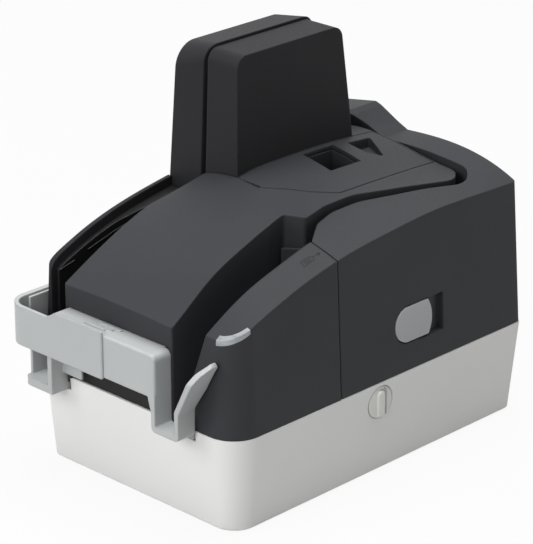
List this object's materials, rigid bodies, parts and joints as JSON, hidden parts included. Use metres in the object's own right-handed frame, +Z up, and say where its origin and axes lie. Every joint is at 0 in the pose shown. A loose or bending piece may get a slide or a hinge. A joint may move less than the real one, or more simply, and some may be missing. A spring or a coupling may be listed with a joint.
{
  "type": "cheque scanner",
  "caption": "Desktop cheque scanner with a curved paper path, two reading towers, hinged rear cover, pull-out front tray and white base.",
  "frame": {"origin": "middle of the overall outline, on the table the feet rest on", "axes": "+Z up, +X to the right seen from the front, the tray at the front faces -Y"},
  "size_m": [0.1372, 0.2106, 0.1894],
  "materials": {
    "charcoal_plastic": "fine spark-eroded texture, satin",
    "white_plastic": "fine texture, satin",
    "grey_plastic": "fine texture, satin",
    "black_plastic": "smooth, semi gloss",
    "frame_plastic": "moulded, plain",
    "lamp_plastic": "translucent light guide, satin",
    "sensor_glass": "polished cover glass",
    "roller_rubber": "ground rubber",
    "white_nylon": "moulded nylon",
    "steel": "ground shaft steel",
    "zinc_steel": "zinc plated",
    "motor_metal": "black can",
    "bronze": "sintered bronze",
    "circuit_board": "solder mask, satin",
    "ink_plastic": "moulded, plain"
  },
  "bodies": {
    "chassis": {"base_screws": "zinc_steel", "base_tub": "white_plastic", "dowel_pins": "steel", "drive_belt": "roller_rubber", "exit_guide": "black_plastic", "feet": "roller_rubber", "hinge_pin": "steel", "image_sensor_left": "frame_plastic", "image_sensor_right": "frame_plastic", "ink_cartridge": "ink_plastic", "island_cover": "charcoal_plastic", "left_guide": "black_plastic", "left_panel": "charcoal_plastic", "machine_screws": "zinc_steel", "magnetic_head": "black_plastic", "main_board": "circuit_board", "main_frame": "frame_plastic", "power_jack": "ink_plastic", "right_front_cover": "charcoal_plastic", "roller_bridge": "frame_plastic", "sensor_glass_left": "sensor_glass", "sensor_glass_right": "sensor_glass", "shaft_bushes": "bronze", "status_lamp": "lamp_plastic", "tower_bridge": "frame_plastic", "tower_left_cover": "charcoal_plastic", "tower_right_cover": "charcoal_plastic", "transport_motor": "motor_metal", "usb_port": "zinc_steel"},
    "rear_cover": {"rear_cover": "charcoal_plastic", "cover_idler_pins": "steel", "button_spring": "steel"},
    "release_button": {"release_button": "grey_plastic"},
    "latch": {"latch_hook": "frame_plastic"},
    "imprinter_lid": {"imprinter_lid": "charcoal_plastic"},
    "front_tray": {"front_tray": "grey_plastic", "feed_loop": "grey_plastic"},
    "base_knob": {"base_knob": "grey_plastic"},
    "pressure_plate": {"pressure_plate": "black_plastic"},
    "motor_pulley": {"motor_pulley": "white_nylon"},
    "feed_axle": {"feed_shaft": "steel", "feed_roller": "roller_rubber", "feed_pulley": "white_nylon"},
    "entry_axle": {"entry_shaft": "steel", "entry_roller": "roller_rubber", "entry_pulley": "white_nylon"},
    "exit_axle": {"exit_shaft": "steel", "exit_roller": "roller_rubber", "exit_pulley": "white_nylon"},
    "turn_axle": {"turn_shaft": "steel", "turn_roller": "roller_rubber", "turn_pulley": "white_nylon"},
    "eject_axle": {"eject_shaft": "steel", "eject_roller": "roller_rubber", "eject_pulley": "white_nylon"},
    "entry_idler": {"entry_idler": "white_nylon"},
    "exit_idler": {"exit_idler": "white_nylon"},
    "turn_idler": {"turn_idler": "white_nylon"},
    "eject_idler": {"eject_idler": "white_nylon"}
  },
  "joints": [
    {"name": "rear_cover_hinge", "type": "hinge", "parent": "chassis", "child": "rear_cover", "pos_m": [-0.0487, 0.0934, 0.0614], "axis": [0, 0, 1], "range_deg": [0, 75]},
    {"name": "release_button_slide", "type": "slide", "parent": "rear_cover", "child": "release_button", "axis": [-1, 0, 0], "range_m": [0, 0.003], "stiffness_N_per_m": 400, "deforming": ["button_spring"]},
    {"name": "latch_slide", "type": "slide", "parent": "rear_cover", "child": "latch", "axis": [0, 1, 0], "range_m": [0, 0.003]},
    {"name": "imprinter_lid_hinge", "type": "hinge", "parent": "chassis", "child": "imprinter_lid", "pos_m": [0.0008, -0.0123, 0.1316], "axis": [1, 0, 0], "range_deg": [0, 60]},
    {"name": "front_tray_slide", "type": "slide", "parent": "chassis", "child": "front_tray", "axis": [0, -1, 0], "range_m": [0, 0.045]},
    {"name": "base_knob_turn", "type": "hinge", "parent": "chassis", "child": "base_knob", "pos_m": [0.0678, 0.0039, 0.0367], "axis": [1, 0, 0], "range_deg": [0, 90]},
    {"name": "pressure_plate_swing", "type": "hinge", "parent": "chassis", "child": "pressure_plate", "pos_m": [-0.0486, -0.0335, 0.0714], "axis": [0, 0, 1], "range_deg": [0, 8], "stiffness_Nm_per_rad": 0.02},
    {"name": "feed_spin", "type": "hinge", "parent": "chassis", "child": "feed_axle", "pos_m": [-0.0278, -0.0471, 0.0614], "axis": [0, 0, 1], "continuous": true},
    {"name": "entry_spin", "type": "hinge", "parent": "chassis", "child": "entry_axle", "pos_m": [-0.0219, 0.0059, 0.0614], "axis": [0, 0, 1], "continuous": true},
    {"name": "exit_spin", "type": "hinge", "parent": "chassis", "child": "exit_axle", "pos_m": [-0.0219, 0.0519, 0.0614], "axis": [0, 0, 1], "continuous": true},
    {"name": "turn_spin", "type": "hinge", "parent": "chassis", "child": "turn_axle", "pos_m": [0.0118, 0.0715, 0.0614], "axis": [0, 0, 1], "continuous": true},
    {"name": "eject_spin", "type": "hinge", "parent": "chassis", "child": "eject_axle", "pos_m": [0.0242, 0.0059, 0.0614], "axis": [0, 0, 1], "continuous": true},
    {"name": "motor_spin", "type": "hinge", "parent": "chassis", "child": "motor_pulley", "pos_m": [0.0078, -0.0261, 0.0474], "axis": [0, 0, 1], "continuous": true},
    {"name": "entry_idler_spin", "type": "hinge", "parent": "chassis", "child": "entry_idler", "pos_m": [-0.0399, 0.0059, 0.0614], "axis": [0, 0, 1], "continuous": true},
    {"name": "exit_idler_spin", "type": "hinge", "parent": "chassis", "child": "exit_idler", "pos_m": [-0.0399, 0.0519, 0.0614], "axis": [0, 0, 1], "continuous": true},
    {"name": "turn_idler_spin", "type": "hinge", "parent": "rear_cover", "child": "turn_idler", "pos_m": [0.0118, 0.0909, 0.0614], "axis": [0, 0, 1], "continuous": true},
    {"name": "eject_idler_spin", "type": "hinge", "parent": "rear_cover", "child": "eject_idler", "pos_m": [0.0438, 0.0059, 0.0614], "axis": [0, 0, 1], "continuous": true}
  ],
  "couplings": [
    {"joint": "latch_slide", "follows": "release_button_slide", "ratio": 1},
    {"joint": "entry_spin", "follows": "feed_spin", "ratio": 1},
    {"joint": "exit_spin", "follows": "feed_spin", "ratio": 1},
    {"joint": "turn_spin", "follows": "feed_spin", "ratio": 1},
    {"joint": "eject_spin", "follows": "feed_spin", "ratio": 1},
    {"joint": "motor_spin", "follows": "feed_spin", "ratio": 1},
    {"joint": "entry_idler_spin", "follows": "feed_spin", "ratio": -1.1463},
    {"joint": "exit_idler_spin", "follows": "feed_spin", "ratio": -1.1463},
    {"joint": "turn_idler_spin", "follows": "feed_spin", "ratio": -1.7941},
    {"joint": "eject_idler_spin", "follows": "feed_spin", "ratio": -1.2619}
  ]
}
